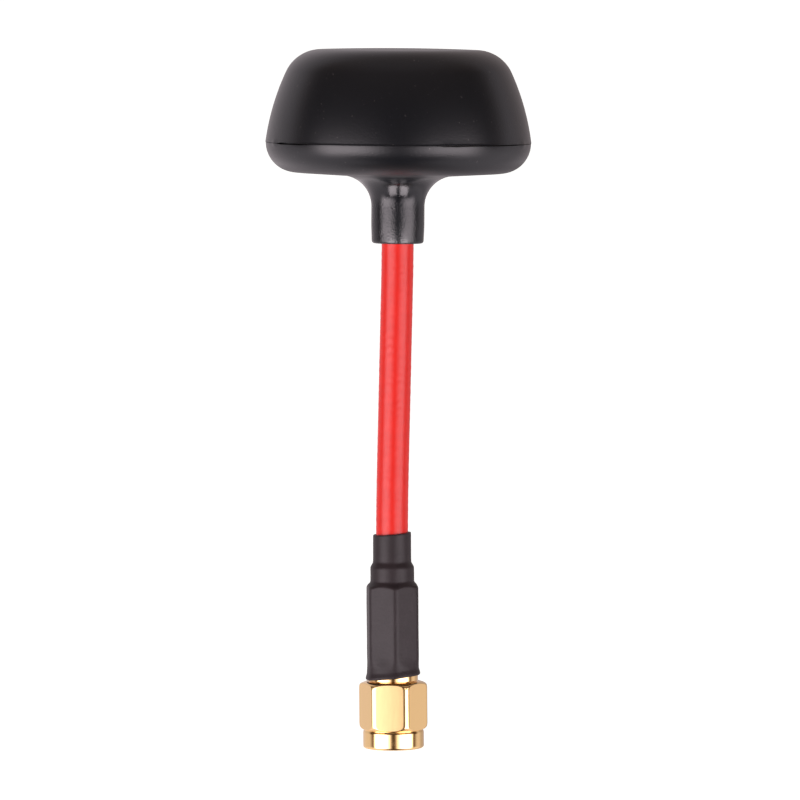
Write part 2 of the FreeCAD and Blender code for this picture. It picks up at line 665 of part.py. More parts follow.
def neck_glue_bead(base):
    """Bead of glue round the jacket where it comes through the base's floor."""
    top = FLOOR_AT_NECK + GLUE_BEAD_HEIGHT
    low = FLOOR_AT_NECK - NECK_COUNTERSINK
    jacket = JACKET_DIAMETER / 2
    bead = (
        Outline(jacket, low)
        .to((GLUE_BEAD_RADIUS, low), (GLUE_BEAD_RADIUS, FLOOR_AT_NECK))
        .arc(GLUE_BEAD_RADIUS, top, top - underside(GLUE_BEAD_RADIUS, SHELL_WALL), -90, -180)
        .to((jacket, top))
        .turned()
    )
    return bead.cut(base)


def main():
    """Build every piece and write one file for each."""
    plug = {
        "connector_body": connector_body(),
        "contact_pin": contact_pin(),
        "connector_insulator": connector_insulator(),
        "pin_solder_joint": pin_solder_joint(),
        "gasket": gasket(),
        "snap_ring": snap_ring(),
        "coupling_nut": coupling_nut(),
        "crimp_ferrule": crimp_ferrule(),
        "heat_shrink_boot": heat_shrink_boot(),
    }

    braid_top = STEM_LENGTH + BRAID_TOP
    conductor_top = STEM_LENGTH + LEAF_CENTRE + FEED_CONDUCTOR_RISE
    jacket_top = STEM_LENGTH + FLOOR_AT_NECK + GLUE_BEAD_HEIGHT + JACKET_STUB
    cable = {
        "coax_centre_conductor": along_cable(
            CONDUCTOR_DIAMETER, PIN_END - PIN_SOCKET_DEPTH + FIT_GAP, conductor_top
        ),
        "coax_dielectric": cable_tube(
            DIELECTRIC_DIAMETER, CONDUCTOR_DIAMETER, INSULATOR_END + 2 * FIT_GAP, braid_top
        ),
        "coax_braid": coax_braid(),
        "cable_jacket": cable_tube(JACKET_DIAMETER, BRAID_DIAMETER, JACKET_START, jacket_top),
    }

    base = radome_base()
    head = {"radome_base": base, "radome_cap": radome_cap(), "neck_glue_bead": neck_glue_bead(base)}
    head.update(radiator())
    place = head_place()
    for shape in head.values():
        shape.Placement = place.multiply(shape.Placement)

    os.makedirs(PARTS_FOLDER, exist_ok=True)
    for name, shape in {**plug, **cable, **head}.items():
        shape.exportStep(f"{PARTS_FOLDER}/{name}.step")


main()
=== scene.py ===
"""Mushroom antenna: materials, fine detail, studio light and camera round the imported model."""
import json
import math

import bmesh
import bpy
from mathutils import Matrix, Vector, noise


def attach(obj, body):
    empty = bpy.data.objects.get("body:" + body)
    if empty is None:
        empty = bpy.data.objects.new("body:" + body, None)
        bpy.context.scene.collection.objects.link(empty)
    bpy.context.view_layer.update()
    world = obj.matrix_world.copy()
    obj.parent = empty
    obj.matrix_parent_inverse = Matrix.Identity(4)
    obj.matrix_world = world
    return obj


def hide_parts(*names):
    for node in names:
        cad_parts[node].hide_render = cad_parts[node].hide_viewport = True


MM = 0.001

# Camera, fitted to the photograph
CAMERA_PLACE = (0.001185, -0.886, 0.09883)
CAMERA_PITCH_DEG = 86.34
CAMERA_ROLL_DEG = -0.44
CAMERA_LENS_MM = 307.04
CAMERA_SENSOR_MM = 36.0
CAMERA_CLIP = (0.01, 20.0)

# Floor and lamps, in metres and watts
FLOOR_HEIGHT = -0.0033
FLOOR_SIZE = 40.0
FLOOR_COLOR = (0.9, 0.9, 0.9)
FLOOR_GLOW = 0.82
FLOOR_GLOW_TINT = (0.94, 1.0, 0.985)
TOP_LIGHT_POWER = 0.3
TOP_LIGHT_SIZE = (0.9, 0.6)
TOP_LIGHT_PLACE = (0, -0.15, 0.75)
CARD_POWER = 0.00090
CARD_SIZE = (0.0048, 0.0090)
CARD_TILT_DEG = 125.0
CARD_PLACES = ((-0.00215, -0.0066, 0.0588), (0.00455, -0.0066, 0.0588))

# Light all round, each change between two angles, azimuths counted from the camera's side
LIGHT_TINT = (1.0, 0.90, 0.945)
BOX_BRIGHTNESS = 6.0
RIGHT_BOX_SHARE = 0.84
BOX_NEAR_DEG = (2, 41)
BOX_FAR_DEG = (64, 84)
BOX_FOOT_DEG = (-44, -20)
BOX_HEAD_DEG = (-4, 17)
SIDE_BLEND = 0.1
FRONT_BRIGHTNESS = 0.07
FRONT_TINT = (1.0, 0.66, 0.46)
FULL_TINT_BRIGHTNESS = 0.6
BACK_BRIGHTNESS = 0.78
BACK_START_DEG = (88, 110)
BACK_LEAN_SHARE = 0.4
BENEATH_LOSS = 0.75
BENEATH_DEPTH = (0.86, 0.98)
BACK_RIGHT_LOSS = 0.38
BACK_RIGHT_DEG = (112, 132)
BACK_LOW_GAIN = 0.25
BACK_LOW_DEG = (-22, -8)
BACK_HIGH_LOSS = 0.12
BACK_HIGH_DEG = (-2, 6)
OVERHEAD_BRIGHTNESS = 0.42
OVERHEAD_DEG = (20, 75)

# Finish of the head, at shares of a band of heights in metres
FINISH_BAND = (0.066, 0.074)
FINISH_ROUGHNESS = (
    (0.10, 0.18), (0.36, 0.17), (0.60, 0.17), (0.68, 0.46), (0.80, 0.46), (0.90, 0.30),
)
FINISH_GRAIN = ((0.20, 1.0), (0.32, 0.25))

# Course of the stem, the same values as in the part's source
STEM_LENGTH = 62.60
LEAN_START = 21.10
LEAN_BEND_LENGTH = 12.00
LEAN_DEG = 1.75
LEAN_RUN = 23.50
HEAD_BEND_LENGTH = 6.00
HEAD_TILT_DEG = 0.85
STRETCHES = (
    (LEAN_START, 0.0, 0.0),
    (LEAN_BEND_LENGTH, 0.0, LEAN_DEG),
    (LEAN_RUN, LEAN_DEG, LEAN_DEG),
    (HEAD_BEND_LENGTH, LEAN_DEG, HEAD_TILT_DEG),
)

# Head, heights measured from the neck's mouth, the same values as in the part's source
NECK_RADIUS = 3.49
NECK_MOUTH_RADIUS = 3.41
NECK_TAPER_LENGTH = 2.40
NECK_EDGE_ROUND = 0.35
NECK_LENGTH = 4.80
NECK_FILLET = 4.00
NECK_BORE_RADIUS = 2.165
UNDERSIDE_RISE_DEG = 3.5
BASE_RADIUS = 17.25
BASE_CORNER_RADIUS = 3.90
SHELL_WALL = 1.20
LIP_RADIUS = 16.60
LIP_HEIGHT = 1.20
CAP_RADIUS = 17.30
CAP_RIM_LEAN_DEG = 7.3
CAP_SIDE_RADIUS = 31.50
CAP_SHOULDER_DEG = 24.7
CAP_SHOULDER_RADIUS = 5.00
CAP_CROWN_RADIUS = 300.0

# Fine detail of the head
REBATE_GAP = 0.05
BORE_CHAMFER = 1.00
HEAD_POINTS = 260
SEAM_ROUND = 0.006
SEAM_REACH = 0.70
SEAM_EDGE_DEPTH = 0.35
SEAM_WAVER = 0.35
BASE_SEED = 2.0
CAP_SEED = 9.0
FLASH_ANGLES = (-158, -21)
FLASH_HEIGHT = 0.10
FLASH_REACH_DEG = 4.0
HEAD_INSET = 0.025
SEAM_OPENINGS = (
    (-180, 0.05), (-156, 0.06), (-151, 0.26), (-139, 0.20), (-130, 0.07), (-124, 0.0),
    (-73, 0.0), (-69, 0.25), (-60, 0.20), (-54, 0.11), (-30, 0.15), (-20, 0.06), (180, 0.05),
)

# Heights on the plug's axis
NUT_FRONT = -3.30
NUT_BACK = 5.42
FLANGE_TOP = 6.40
TAIL_END = 7.30
FERRULE_HEX_END = 17.60
FERRULE_NECK_START = 18.40
FERRULE_END = 20.40
BOOT_STEP_END = 21.00

# Coupling nut
NUT_APOTHEM = 4.00
NUT_EDGE_ROUND = 0.10
NUT_FACE_CROWN = 0.02
NUT_FRONT_ROUND = 0.34
NUT_NECK_DEPTH = 0.12
NUT_TURN_DEG = 23.3
NUT_CORNER_RADIUS = 4.475
NUT_COLLAR_RADIUS = 3.97
NUT_COLLAR_LENGTH = 2.42
NUT_BACK_RADIUS = 3.25
NUT_SOFTNESS = 0.10
THREAD_MINOR_RADIUS = 2.87
THREAD_DEPTH = 0.30
THREAD_PITCH = 25.4 / 36
THREAD_LENGTH = 4.10
NUT_BEARING_RADIUS = 2.80
NUT_STEP = 2.70
NUT_RELIEF_RADIUS = 3.25
NUT_RELIEF_FRONT = 1.19
MOUTH_CHAMFER = 0.35
NUT_SIDE_POINTS = 36
THREAD_RINGS = 70

# Heat-shrink boot
BOOT_WALL = 0.40
BOOT_APOTHEM = 3.25
BOOT_EDGE_ROUND = 0.85
BOOT_TURN_DEG = 6.5
BOOT_FRONT = 6.00
BOOT_FRONT_CUT_DEG = 5.5
BOOT_END = 24.75
BOOT_BACK_CUT_DEG = 4.5
BOOT_CUT_RADIUS = 3.00
BOOT_FRONT_SPREAD = 1.2
BOOT_BACK_SPREAD = 0.8
BOOT_FOOT_RADIUS = 3.56
BOOT_FOOT_FORMED = 0.45
BOOT_SOFTNESS = 0.30
BOOT_UNEVEN = 0.018
BOOT_FINE_UNEVEN = 0.007
BOOT_LIP_RISE = 0.15
BOOT_LIP_ROUND = 0.10
BOOT_END_ROUND = 0.05
BOOT_SIDE_POINTS = 24
BOOT_RINGS = 170

# Jacket
JACKET_RADIUS = 2.10
JACKET_BORE_RADIUS = 1.80
JACKET_START = 18.42
JACKET_END = 74.6
RIPPLE_PITCH = 1.10
RIPPLE_HEIGHT = 0.007
RIPPLE_TURNS = 5
RIPPLE_WANDER_DEG = 200
JACKET_UNEVEN = 0.014
JACKET_POINTS = 96
JACKET_RINGS = 420

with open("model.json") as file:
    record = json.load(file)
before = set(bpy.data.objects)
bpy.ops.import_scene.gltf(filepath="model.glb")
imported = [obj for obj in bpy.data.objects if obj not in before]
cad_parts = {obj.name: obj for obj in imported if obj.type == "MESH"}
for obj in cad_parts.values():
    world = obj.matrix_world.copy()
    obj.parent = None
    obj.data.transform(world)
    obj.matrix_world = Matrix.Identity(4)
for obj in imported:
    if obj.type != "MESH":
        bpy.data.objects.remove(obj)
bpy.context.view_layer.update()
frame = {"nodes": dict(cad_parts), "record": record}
nodes = frame["nodes"]


def sine(degrees):
    return math.sin(math.radians(degrees))


def cosine(degrees):
    return math.cos(math.radians(degrees))


def tangent(degrees):
    return math.tan(math.radians(degrees))


def clamp(value):
    """The value held between 0 and 1."""
    return max(0.0, min(1.0, value))


def smooth(low, high, value):
    """0 below low, 1 above high and an even turn between them."""
    t = clamp((value - low) / (high - low))
    return t * t * (3 - 2 * t)


def soft_least(a, b, softness):
    """The smaller of two lengths, with the corner between them rounded."""
    near = max(softness - abs(a - b), 0.0) / softness
    return min(a, b) - near * near * softness / 4


def between(points, at):
    """Straight-line reading of a list of (position, value) points."""
    if at <= points[0][0]:
        return points[0][1]
    for (low, first), (high, last) in zip(points, points[1:]):
        if at <= high:
            return first + (last - first) * (at - low) / (high - low)
    return points[-1][1]


def eased(points, at, reach):
    """The same reading, averaged over a short reach so that its corners are round."""
    offsets = (-1.0, -0.66, -0.33, 0.0, 0.33, 0.66, 1.0)
    weights = (1, 2, 3, 4, 3, 2, 1)
    total = sum(w * between(points, at + reach * o) for o, w in zip(offsets, weights))
    return total / sum(weights)


def steps(low, high, count):
    return [low + (high - low) * k / count for k in range(count + 1)]


def ripple(x, y, z, scale, seed=0.0):
    """Even noise from -1 to 1 at a place in millimetres."""
    return noise.noise(Vector((x, y, z)) * scale + Vector((seed, seed * 1.7, -seed)))


def rounded_hexagon(apothem, edge_round, angle_deg, turn_deg, crown=0.0):
    """Distance from the axis to a hexagon with rounded edges and slightly domed faces."""
    from_corner = (angle_deg - (turn_deg - 90) + 30) % 60 - 30
    off = abs(from_corner)
    reach = (apothem - edge_round) / cosine(30)
    arc_end = math.degrees(math.atan2(edge_round * sine(30), reach + edge_round * cosine(30)))
    dome = crown * (tangent(30 - off) / tangent(30)) ** 2
    if off >= arc_end:
        return apothem / cosine(30 - off) - dome
    inside = math.sqrt(edge_round**2 - (reach * sine(off)) ** 2)
    return reach * cosine(off) + inside - dome


def hexagon_angles(turn_deg, per_side):
    """Angles round a hexagon, closer together at its edges."""
    angles = []
    for k in range(6):
        for j in range(per_side):
            t = 2 * j / per_side - 1
            angles.append(turn_deg - 90 + 60 * k + math.copysign(30 * abs(t) ** 1.7, t))
    return angles


def even_angles(count):
    return [360.0 * k / count for k in range(count)]


def course(station):
    """The place and lean of the cable's axis at a distance along it."""
    x = z = 0.0
    for length, from_deg, to_deg in STRETCHES:
        run = min(station, length)
        end_deg = from_deg + (to_deg - from_deg) * run / length
        if from_deg == end_deg:
            x += run * sine(from_deg)
            z += run * cosine(from_deg)
        else:
            radius = run / math.radians(end_deg - from_deg)
            x += radius * (cosine(from_deg) - cosine(end_deg))
            z += radius * (sine(end_deg) - sine(from_deg))
        station -= run
        if station <= 0:
            return x, z, end_deg
    return x + station * sine(HEAD_TILT_DEG), z + station * cosine(HEAD_TILT_DEG), HEAD_TILT_DEG


def on_cable(station, radius, angle_deg):
    """A point at a radius and angle round the cable's axis."""
    x, z, lean = course(station)
    side, depth = radius * cosine(angle_deg), radius * sine(angle_deg)
    return Vector((x + side * cosine(lean), depth, z - side * sine(lean)))


def on_axis(height, radius, angle_deg):
    return Vector((radius * cosine(angle_deg), radius * sine(angle_deg), height))


def skin(name, rings, slot, body, replaced, crease_deg, poles=False):
    """A closed piece from rings of points in millimetres, each joined to the next.

    The last ring is joined to the first, or with poles both are single points on the axis.
    """
    count = len(rings[0])
    mesh = bpy.data.meshes.new(name)
    points = [point * MM for ring in rings for point in ring]
    faces = []
    for i in range(len(rings) - (1 if poles else 0)):
        j = (i + 1) % len(rings)
        for k in range(count):
            n = (k + 1) % count
            faces.append((i * count + k, i * count + n, j * count + n, j * count + k))
    mesh.from_pydata(points, [], faces)
    work = bmesh.new()
    work.from_mesh(mesh)
    if poles:
        bmesh.ops.remove_doubles(work, verts=work.verts, dist=1e-8)
    bmesh.ops.recalc_face_normals(work, faces=work.faces)
    for face in work.faces:
        face.smooth = True
    for edge in work.edges:
        edge.smooth = edge.calc_face_angle(0.0) < math.radians(crease_deg)
    work.to_mesh(mesh)
    work.free()
    piece = bpy.data.objects.new(name, mesh)
    bpy.context.scene.collection.objects.link(piece)
    dress(piece, slot)
    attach(piece, body)
    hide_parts(*replaced)
    return piece


class Shader:
    """A material with one Principled shader and short ways to add texture nodes."""

    def __init__(self, name, color, roughness, **inputs):
        self.material = bpy.data.materials.new(name)
        self.material.use_nodes = True
        self.tree = self.material.node_tree
        self.base = self.tree.nodes["Principled BSDF"]
        self.set("Base Color", (*color, 1.0))
        self.set("Roughness", roughness)
        for key, value in inputs.items():
            self.set(key.replace("_", " "), value)

    def set(self, socket, value):
        self.base.inputs[socket].default_value = value

    def node(self, kind, **inputs):
        made = self.tree.nodes.new(kind)
        for key, value in inputs.items():
            made.inputs[key.replace("_", " ")].default_value = value
        return made

    def link(self, source, target):
        self.tree.links.new(source, target)

    def place(self):
        """The piece's own coordinates in metres."""
        return self.node("ShaderNodeTexCoord").outputs["Object"]

    def noise(self, scale, detail, stretch=(1, 1, 1)):
        """Soft noise, finer where the scale is larger."""
        mapping = self.node("ShaderNodeMapping")
        mapping.inputs["Scale"].default_value = stretch
        self.link(self.place(), mapping.inputs["Vector"])
        made = self.node("ShaderNodeTexNoise", Scale=scale, Detail=detail)
        self.link(mapping.outputs["Vector"], made.inputs["Vector"])
        return made.outputs["Fac"]

    def ramp(self, factor, stops):
        """Turn a 0 to 1 value into greys or colours at the given stops."""
        made = self.node("ShaderNodeValToRGB")
        elements = made.color_ramp.elements
        while len(elements) < len(stops):
            elements.new(0.5)
        for element, (position, color) in zip(elements, stops):
            element.position = position
            shade = (color,) * 3 if isinstance(color, float) else color
            element.color = (*shade, 1.0)
        self.link(factor, made.inputs["Fac"])
        return made.outputs["Color"]

    def bump(self, height, strength, distance):
        """Add a bump on top of any bump that is there already."""
        made = self.node("ShaderNodeBump", Strength=strength, Distance=distance)
        self.link(height, made.inputs["Height"])
        normal = self.base.inputs["Normal"]
        if normal.is_linked:
            self.link(normal.links[0].from_socket, made.inputs["Normal"])
        self.link(made.outputs["Normal"], normal)


def radome_plastic():
    """Black with faint dust: a shiny grained neck, a dull underside and a satin head."""
    black = (0.0034, 0.0046, 0.0066)
    dust = (0.05, 0.048, 0.048)
    made = Shader("radome_black", black, 0.32, Specular_IOR_Level=0.47)
    split = made.node("ShaderNodeSeparateXYZ")
    made.link(made.place(), split.inputs["Vector"])
    height = made.node("ShaderNodeMapRange", From_Min=FINISH_BAND[0], From_Max=FINISH_BAND[1])
    made.link(split.outputs["Z"], height.inputs["Value"])
    polish = made.ramp(height.outputs["Result"], FINISH_ROUGHNESS)
    made.link(polish, made.base.inputs["Roughness"])
    specks = made.ramp(made.noise(2600, detail=1), [(0.0, black), (0.74, black), (0.80, dust)])
    made.link(specks, made.base.inputs["Base Color"])
    grain = made.node("ShaderNodeMath")
    grain.operation = "MULTIPLY"
    made.link(made.noise(4200, detail=2), grain.inputs[0])
    made.link(made.ramp(height.outputs["Result"], FINISH_GRAIN), grain.inputs[1])
    made.bump(grain.outputs["Value"], strength=0.7, distance=0.00007)
    made.bump(made.noise(260, detail=2), strength=0.25, distance=0.00003)
    return made.material


def jacket_plastic():
    made = Shader("jacket_red", (0.61, 0.0135, 0.0075), 0.33, Specular_IOR_Level=0.37)
    deep, pale = (0.59, 0.0125, 0.0065), (0.64, 0.015, 0.0085)
    tone = made.ramp(made.noise(700, detail=2), [(0.3, deep), (0.7, pale)])
    made.link(tone, made.base.inputs["Base Color"])
    made.bump(made.noise(1500, detail=2), strength=0.2, distance=0.00004)
    return made.material


def shrink_rubber():
    made = Shader("shrink_black", (0.018, 0.013, 0.0145), 0.46, Specular_IOR_Level=0.29)
    deep, pale = (0.016, 0.0115, 0.013), (0.021, 0.015, 0.017)
    tone = made.ramp(made.noise(500, detail=4), [(0.3, deep), (0.7, pale)])
    made.link(tone, made.base.inputs["Base Color"])
    made.bump(made.noise(3000, detail=3), strength=0.3, distance=0.00004)
    return made.material


def gold_plate():
    made = Shader("gold", (1.0, 0.70, 0.325), 0.13, Metallic=1.0)
    polish = made.ramp(made.noise(900, detail=3), [(0.3, 0.10), (0.7, 0.16)])
    made.link(polish, made.base.inputs["Roughness"])
    made.bump(made.noise(1800, detail=2, stretch=(1, 1, 0.25)), strength=0.12, distance=0.00002)
    return made.material


def plain(name, color, roughness, grain, strength, **inputs):
    """A material with an even colour and a fine grain."""
    made = Shader(name, color, roughness, **inputs)
    made.bump(made.noise(grain, detail=2), strength, distance=0.00004)
    return made.material


def braid_metal():
    made = Shader("tinned_braid", (0.60, 0.60, 0.58), 0.34, Metallic=1.0)
    made.bump(made.noise(1300, detail=1, stretch=(1, 1, 0.35)), strength=0.8, distance=0.00012)
    return made.material


MATERIALS = {
    "radome_black": radome_plastic(),
    "jacket_red": jacket_plastic(),
    "shrink_black": shrink_rubber(),
    "gold": gold_plate(),
    "copper": plain("copper", (0.80, 0.40, 0.24), 0.24, 1500, 0.15, Metallic=1.0),
    "solder": plain("solder", (0.62, 0.62, 0.60), 0.30, 900, 0.4, Metallic=1.0),
    "tinned_braid": braid_metal(),
    "ptfe": plain("ptfe", (0.86, 0.86, 0.83), 0.42, 2200, 0.1, Subsurface_Weight=0.15),
    "glue": plain("glue", (0.62, 0.52, 0.34), 0.22, 500, 0.35, Subsurface_Weight=0.2),
    "seal_rubber": plain("seal_rubber", (0.50, 0.05, 0.035), 0.5, 2500, 0.2),
    "spring_bronze": plain("spring_bronze", (0.66, 0.42, 0.20), 0.28, 1800, 0.2, Metallic=1.0),
}
NODE_SLOTS = {row["node"]: row["material_slot"] for row in frame["record"]["subparts"]}


def dress(piece, slot):
    piece.data.materials.clear()
    piece.data.materials.append(MATERIALS[slot])


for name, node in nodes.items():
    dress(node, NODE_SLOTS[name])


def add_coupling_nut():
    """Hexagon with soft edges and shoulders, a round collar and a helical thread in its mouth."""
    collar_top = NUT_FRONT + NUT_COLLAR_LENGTH
    envelope = [
        (collar_top - 0.32, NUT_COLLAR_RADIUS),
        (collar_top - 0.14, NUT_COLLAR_RADIUS - 0.04),
        (collar_top - 0.03, NUT_COLLAR_RADIUS - NUT_NECK_DEPTH),
        (collar_top + 0.03, NUT_COLLAR_RADIUS - NUT_NECK_DEPTH),
        (collar_top + 0.13, NUT_APOTHEM + 0.14),
        (collar_top + 0.28, NUT_APOTHEM + 0.31),
        (collar_top + 0.48, NUT_APOTHEM + 0.42),
        (collar_top + 0.80, NUT_CORNER_RADIUS),
        (NUT_BACK - 0.76, NUT_CORNER_RADIUS),
        (NUT_BACK - 0.44, NUT_APOTHEM + 0.42),
        (NUT_BACK - 0.28, NUT_APOTHEM + 0.31),
        (NUT_BACK - 0.15, NUT_APOTHEM + 0.06),
        (NUT_BACK - 0.05, NUT_BACK_RADIUS + 0.50),
        (NUT_BACK, NUT_BACK_RADIUS + 0.30),
    ]
    angles = hexagon_angles(NUT_TURN_DEG, NUT_SIDE_POINTS)
    rings = []
    for a in (90, 72, 54, 36, 18, 0):
        r = NUT_COLLAR_RADIUS - NUT_FRONT_ROUND * (1 - cosine(a))
        z = NUT_FRONT + NUT_FRONT_ROUND * (1 - sine(a))
        rings.append([on_axis(z, r, angle) for angle in angles])
    heights = steps(NUT_FRONT + 0.5, collar_top - 0.45, 4)
    heights += steps(collar_top - 0.4, collar_top + 0.7, 32)
    heights += steps(collar_top + 0.9, NUT_BACK - 1.1, 12)
    heights += steps(NUT_BACK - 1.0, NUT_BACK, 28)
    for z in heights:
        outer = eased(envelope, z, 0.06)
        ring = []
        for angle in angles:
            r = outer
            if z > collar_top:
                flat = rounded_hexagon(
                    NUT_APOTHEM, NUT_EDGE_ROUND, angle, NUT_TURN_DEG, NUT_FACE_CROWN
                )
                r = soft_least(outer, flat, NUT_SOFTNESS)
            ring.append(on_axis(z, r, angle))
        rings.append(ring)
    bore = [
        (NUT_BACK, NUT_BEARING_RADIUS), (NUT_STEP, NUT_BEARING_RADIUS),
        (NUT_STEP, NUT_RELIEF_RADIUS), (NUT_RELIEF_FRONT, NUT_RELIEF_RADIUS),
    ]
    for z, r in bore:
        rings.append([on_axis(z, r, angle) for angle in angles])
    thread_top = NUT_FRONT + THREAD_LENGTH
    for z in reversed(steps(NUT_FRONT + MOUTH_CHAMFER, thread_top, THREAD_RINGS)):
        fade = smooth(0, 0.3, thread_top - z) * smooth(0, 0.25, z - NUT_FRONT - MOUTH_CHAMFER)
        ring = []
        for angle in angles:
            turn = (z / THREAD_PITCH - angle / 360) % 1.0
            groove = clamp(1.4 * (1 - abs(2 * turn - 1)) - 0.2)
            ring.append(on_axis(z, THREAD_MINOR_RADIUS + THREAD_DEPTH * groove * fade, angle))
        rings.append(ring)
    mouth = THREAD_MINOR_RADIUS + MOUTH_CHAMFER
    rings.append([on_axis(NUT_FRONT, mouth, angle) for angle in angles])
    return skin("coupling_nut_detailed", rings, "gold", "nut", ["coupling_nut"], crease_deg=40)


def boot_radius(angle_deg, height):
    """Outer surface of the shrink sleeve: foot, softened hexagon, shoulder, step and stem."""
    envelope = [
        (TAIL_END - 1.0, 3.62), (FLANGE_TOP, 3.60), (TAIL_END, BOOT_FOOT_RADIUS),
        (TAIL_END + 1.6, 3.90), (FERRULE_HEX_END, 3.90), (FERRULE_NECK_START, 2.86),
        (FERRULE_END, 2.85), (BOOT_STEP_END, 2.50), (BOOT_END, 2.48),
    ]
    outer = eased(envelope, height, 0.22)
    flat = rounded_hexagon(BOOT_APOTHEM, BOOT_EDGE_ROUND, angle_deg, BOOT_TURN_DEG)
    risen = smooth(TAIL_END - 0.8, TAIL_END + 1.6, height)
    formed = BOOT_FOOT_FORMED + (1 - BOOT_FOOT_FORMED) * risen
    shaped = BOOT_FOOT_RADIUS + (flat - BOOT_FOOT_RADIUS) * formed
    return soft_least(outer, shaped, BOOT_SOFTNESS)


def add_boot():
    """Shrink sleeve with slanted ends, a thin lip at the front and faint unevenness."""
    angles = hexagon_angles(BOOT_TURN_DEG, BOOT_SIDE_POINTS)
    outer, inner = [], []
    for t in steps(0, 1, BOOT_RINGS):
        outside, inside = [], []
        for angle in angles:
            side = BOOT_CUT_RADIUS * cosine(angle)
            low = BOOT_FRONT + BOOT_FRONT_SPREAD * side * tangent(BOOT_FRONT_CUT_DEG)
            high = BOOT_END + BOOT_BACK_SPREAD * side * tangent(BOOT_BACK_CUT_DEG)
            z = low + (high - low) * t
            r = boot_radius(angle, z)
            x, y = r * cosine(angle), r * sine(angle)
            fine = ripple(x, y, z * 1.6, 1.7, 3.0)
            r += BOOT_UNEVEN * ripple(x, y, z, 0.45) + BOOT_FINE_UNEVEN * fine
            lip = BOOT_LIP_RISE * (1 - smooth(0.1, 0.95, z - low))
            r += lip - BOOT_LIP_ROUND * (1 - smooth(0.0, 0.14, z - low))
            r -= BOOT_END_ROUND * (1 - smooth(0.0, 0.10, high - z))
            outside.append(on_cable(z, r, angle))
            inside.append(on_cable(z, r - BOOT_WALL, angle))
        outer.append(outside)
        inner.append(inside)
    rings = outer + inner[::-10]
    return skin(
        "heat_shrink_sleeve", rings, "shrink_black", "antenna", ["heat_shrink_boot"], crease_deg=50
    )


def add_jacket():
    """Red jacket with the faint slanted ripples of the braid under it."""
    angles = even_angles(JACKET_POINTS)
    stations = steps(JACKET_START, JACKET_END, JACKET_RINGS)
    outer = []
    for station in stations:
        shown = smooth(BOOT_END - 1.5, BOOT_END + 1, station)
        shown *= smooth(0, 1.5, STEM_LENGTH + 1 - station)
        ring = []
        for angle in angles:
            x, y = JACKET_RADIUS * cosine(angle), JACKET_RADIUS * sine(angle)
            uneven = ripple(x, y, station, 0.55)
            along = 360 * station / RIPPLE_PITCH
            along += RIPPLE_WANDER_DEG * ripple(x, y, station, 0.35, 5.0)
            wave = sine(along + RIPPLE_TURNS * angle) + sine(along - RIPPLE_TURNS * angle)
            lift = RIPPLE_HEIGHT * (0.5 + uneven) * wave + JACKET_UNEVEN * uneven - JACKET_UNEVEN
            ring.append(on_cable(station, JACKET_RADIUS + shown * lift, angle))
        outer.append(ring)
    inner = [[on_cable(s, JACKET_BORE_RADIUS, a) for a in angles] for s in stations[::-30]]
    rings = outer + inner
    return skin("braided_jacket", rings, "jacket_red", "antenna", ["cable_jacket"], crease_deg=50)


def arc(centre, radius, start_deg, end_deg, count):
    """Points (radius from the axis, height) along an arc."""
    return [
        (centre[0] + radius * cosine(a), centre[1] + radius * sine(a))
        for a in steps(start_deg, end_deg, count)
    ]


def line(start, end, count):
    return list(zip(steps(start[0], end[0], count), steps(start[1], end[1], count)))


def underside(radius, inset):
    """Height at a radius of the base's underside moved up by an inset."""
    start_radius = NECK_RADIUS + NECK_FILLET * (1 - sine(UNDERSIDE_RISE_DEG))
    start_height = NECK_LENGTH + NECK_FILLET * cosine(UNDERSIDE_RISE_DEG)
    rise = (radius - start_radius) * tangent(UNDERSIDE_RISE_DEG)
    return start_height + rise + inset / cosine(UNDERSIDE_RISE_DEG)


def seam_opening(angle_deg, seed):
    """How far the joint stands open at an angle: shut in front, widest on either side of that."""
    wide = between(SEAM_OPENINGS, (angle_deg + 180) % 360 - 180)
    fine = ripple(6 * cosine(angle_deg), 6 * sine(angle_deg), 0, 2.5, seed)
    return wide * (1 + SEAM_WAVER * fine)


def flash_nib(angle_deg):
    """How far moulding flash stands out at an angle: two small leftovers on the joint."""
    angle = (angle_deg + 180) % 360 - 180
    nearest = min(abs(angle - place) for place in FLASH_ANGLES)
    return FLASH_HEIGHT * (1 - smooth(0.0, FLASH_REACH_DEG, nearest))


def head_rings(profile, seam, seed, upward):
    """Rings round the head's axis, with the outer edge at the seam lifted or lowered unevenly."""
    angles = even_angles(HEAD_POINTS)
    openings = [seam_opening(angle, seed) for angle in angles]
    nibs = [flash_nib(angle) for angle in angles]
    rings = []
    for r, h in profile:
        near = 1 - smooth(0.0, SEAM_REACH, abs(h - seam))
        at_edge = near * smooth(BASE_RADIUS - SEAM_REACH, BASE_RADIUS - SEAM_EDGE_DEPTH, r)
        shift = at_edge if upward else -at_edge
        inset = min(r, HEAD_INSET)
        ring = []
        for angle, opening, nib in zip(angles, openings, nibs):
            height = STEM_LENGTH + h + shift * opening / 2 - HEAD_INSET
            ring.append(on_cable(height, r - inset + nib * at_edge, angle))
        rings.append(ring)
    return rings


